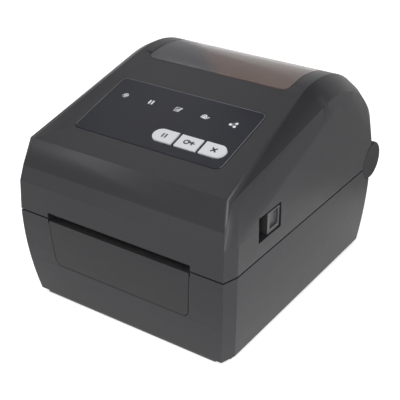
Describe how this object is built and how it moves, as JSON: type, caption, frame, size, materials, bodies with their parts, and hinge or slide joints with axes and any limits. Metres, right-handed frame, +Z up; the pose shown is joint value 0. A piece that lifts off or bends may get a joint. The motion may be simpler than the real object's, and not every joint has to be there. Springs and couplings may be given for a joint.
{
  "type": "thermal label printer",
  "caption": "Desktop direct thermal label printer with a hinged lid, roll window, key panel, release latches, label slot, driven print roller and centring roll holders.",
  "frame": {"origin": "on the surface that the feet stand on, under the centre of the bounding box", "axes": "+X to the printer's right as seen by someone facing the printer, +Y from the label slot to the hinge, +Z up"},
  "size_m": [0.18, 0.224, 0.1615],
  "materials": {
    "case_black": "fine textured moulded plastic",
    "plate_grey": "moulded plastic",
    "insert_black": "fine textured moulded plastic",
    "inner_black": "moulded plastic",
    "holder_black": "moulded plastic",
    "hub_grey": "moulded plastic",
    "latch_grey": "moulded plastic",
    "foot_rubber": "soft matt rubber",
    "platen_rubber": "ground rubber",
    "screw_steel": "zinc plated steel",
    "plate_steel": "pressed steel sheet",
    "shaft_steel": "ground steel rod",
    "gear_white": "acetal",
    "pinion_brass": "turned brass",
    "motor_steel": "plated steel can",
    "board_green": "solder mask on glass fibre board",
    "port_steel": "plated steel shell",
    "port_black": "moulded plastic",
    "window_smoke": "clear smoked plastic",
    "panel_gloss": "glossy printed panel",
    "key_grey": "moulded keys",
    "light_white": "clear light guides",
    "head_aluminium": "extruded aluminium",
    "head_ceramic": "glazed ceramic print line"
  },
  "bodies": {
    "base": {"base_shell": "case_black", "bottom_plate": "plate_grey", "rubber_feet": "foot_rubber", "base_screws": "screw_steel", "front_insert": "insert_black", "media_tray": "inner_black", "frame_plate_left": "plate_steel", "frame_plate_right": "plate_steel", "platen_bushings": "gear_white", "idler_stud": "shaft_steel", "stepper_motor": "motor_steel", "sensor_rail": "shaft_steel", "latch_keepers": "plate_steel", "hinge_pins": "shaft_steel", "hinge_caps": "case_black", "pinion_screw": "screw_steel", "main_board": "board_green", "usb_port": "port_steel", "network_port": "port_steel", "power_inlet": "port_black", "switch_housing": "port_black"},
    "platen": {"platen_shaft": "shaft_steel", "platen_rubber": "platen_rubber", "platen_gear": "gear_white"},
    "idler": {"idler_gear": "gear_white"},
    "motor_rotor": {"motor_pinion": "pinion_brass"},
    "sensor": {"mark_sensor": "board_green"},
    "holder_left": {"roll_holder_left": "holder_black"},
    "holder_right": {"roll_holder_right": "holder_black"},
    "hub_left": {"roll_hub_left": "hub_grey"},
    "hub_right": {"roll_hub_right": "hub_grey"},
    "spacer": {"spacing_pinion": "gear_white"},
    "rocker": {"power_rocker": "port_black"},
    "lid": {"lid_shell": "case_black", "roll_window": "window_smoke", "control_panel": "panel_gloss", "key_board": "board_green", "key_domes": "key_grey", "status_lights": "light_white", "lid_frame": "inner_black", "lid_screws": "screw_steel", "tear_bar": "shaft_steel", "head_pivot": "shaft_steel", "gap_sensor": "board_green", "head_springs": "shaft_steel"},
    "pause_button": {"pause_key": "key_grey"},
    "feed_button": {"feed_key": "key_grey"},
    "cancel_button": {"cancel_key": "key_grey"},
    "left_latch": {"latch_left": "latch_grey"},
    "right_latch": {"latch_right": "latch_grey"},
    "print_head": {"head_bracket": "plate_steel", "head_heatsink": "head_aluminium", "head_ceramic": "head_ceramic"}
  },
  "joints": [
    {"name": "lid_hinge", "type": "hinge", "parent": "base", "child": "lid", "pos_m": [0, 0.097, 0.076], "axis": [-1, 0, 0], "range_deg": [0, 95]},
    {"name": "platen_spin", "type": "hinge", "parent": "base", "child": "platen", "pos_m": [0, -0.097, 0.069], "axis": [1, 0, 0], "continuous": true},
    {"name": "idler_spin", "type": "hinge", "parent": "base", "child": "idler", "pos_m": [0.0685, -0.08254, 0.04386], "axis": [1, 0, 0], "continuous": true},
    {"name": "motor_spin", "type": "hinge", "parent": "base", "child": "motor_rotor", "pos_m": [0.0685, -0.0555, 0.0366], "axis": [1, 0, 0], "continuous": true},
    {"name": "sensor_slide", "type": "slide", "parent": "base", "child": "sensor", "axis": [-1, 0, 0], "range_m": [-0.004, 0.05]},
    {"name": "holder_left_slide", "type": "slide", "parent": "base", "child": "holder_left", "axis": [1, 0, 0], "range_m": [0, 0.045]},
    {"name": "holder_right_slide", "type": "slide", "parent": "base", "child": "holder_right", "axis": [-1, 0, 0], "range_m": [0, 0.045]},
    {"name": "spacer_spin", "type": "hinge", "parent": "base", "child": "spacer", "pos_m": [0, 0.024, 0.0105], "axis": [0, 0, -1], "range_deg": [0, 330]},
    {"name": "hub_left_spin", "type": "hinge", "parent": "holder_left", "child": "hub_left", "pos_m": [-0.0555, 0.024, 0.0845], "axis": [1, 0, 0], "continuous": true},
    {"name": "hub_right_spin", "type": "hinge", "parent": "holder_right", "child": "hub_right", "pos_m": [0.0555, 0.024, 0.0845], "axis": [1, 0, 0], "continuous": true},
    {"name": "power_switch", "type": "hinge", "parent": "base", "child": "rocker", "pos_m": [0.046, 0.096, 0.036], "axis": [1, 0, 0], "range_deg": [0, 14]},
    {"name": "pause_press", "type": "slide", "parent": "lid", "child": "pause_button", "axis": [0, 0.2797, -0.9601], "range_m": [0, 0.0008], "stiffness_N_per_m": 250, "springref_m": -0.0016},
    {"name": "feed_press", "type": "slide", "parent": "lid", "child": "feed_button", "axis": [0, 0.2797, -0.9601], "range_m": [0, 0.0008], "stiffness_N_per_m": 250, "springref_m": -0.0016},
    {"name": "cancel_press", "type": "slide", "parent": "lid", "child": "cancel_button", "axis": [0, 0.2797, -0.9601], "range_m": [0, 0.0008], "stiffness_N_per_m": 250, "springref_m": -0.0016},
    {"name": "left_latch_slide", "type": "slide", "parent": "lid", "child": "left_latch", "axis": [0, -1, 0], "range_m": [0, 0.005], "stiffness_N_per_m": 300, "springref_m": -0.005},
    {"name": "right_latch_slide", "type": "slide", "parent": "lid", "child": "right_latch", "axis": [0, -1, 0], "range_m": [0, 0.005], "stiffness_N_per_m": 300, "springref_m": -0.005},
    {"name": "head_float", "type": "hinge", "parent": "lid", "child": "print_head", "pos_m": [0, -0.084, 0.0915], "axis": [-1, 0, 0], "range_deg": [0, 2], "stiffness_Nm_per_rad": 0.6, "springref_deg": -17.19, "deforming": ["head_springs"]}
  ],
  "couplings": [
    {"joint": "idler_spin", "follows": "platen_spin", "ratio": -0.45},
    {"joint": "motor_spin", "follows": "platen_spin", "ratio": 1.125},
    {"joint": "holder_right_slide", "follows": "holder_left_slide", "ratio": 1},
    {"joint": "spacer_spin", "follows": "holder_left_slide", "rad_per_m": 125}
  ]
}
